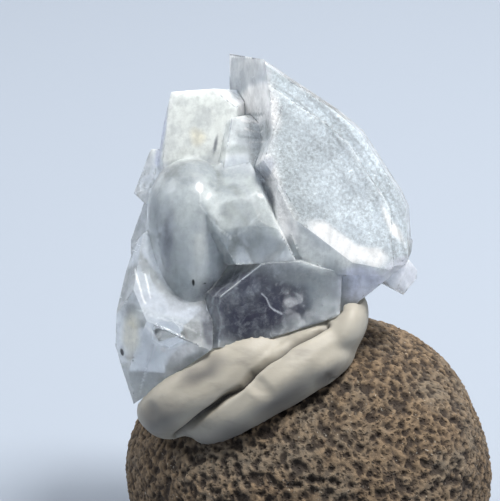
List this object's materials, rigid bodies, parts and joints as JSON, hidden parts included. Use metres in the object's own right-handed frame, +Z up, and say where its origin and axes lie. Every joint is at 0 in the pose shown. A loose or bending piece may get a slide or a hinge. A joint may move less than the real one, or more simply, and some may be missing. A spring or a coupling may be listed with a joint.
{
  "type": "apophyllite crystal specimen on a display stone",
  "caption": "Cluster of clear and frosted pseudocubic crystals held by a folded pad of putty on top of a rounded lava pebble with a flat underside.",
  "frame": {"origin": "middle of the pebble's flat underside", "axes": "+Z up towards the specimen's tip, the specimen's display side faces -Y, +X to its right"},
  "size_m": [0.0463, 0.0421, 0.0685],
  "materials": {
    "crystal": "clear to milky, frosted on the large front face",
    "putty": "soft, slightly waxy",
    "lava": "rough, full of gas pits"
  },
  "bodies": {
    "root": {"crystal_cluster": "crystal", "putty_pad": "putty", "lava_stone": "lava"}
  },
  "joints": []
}
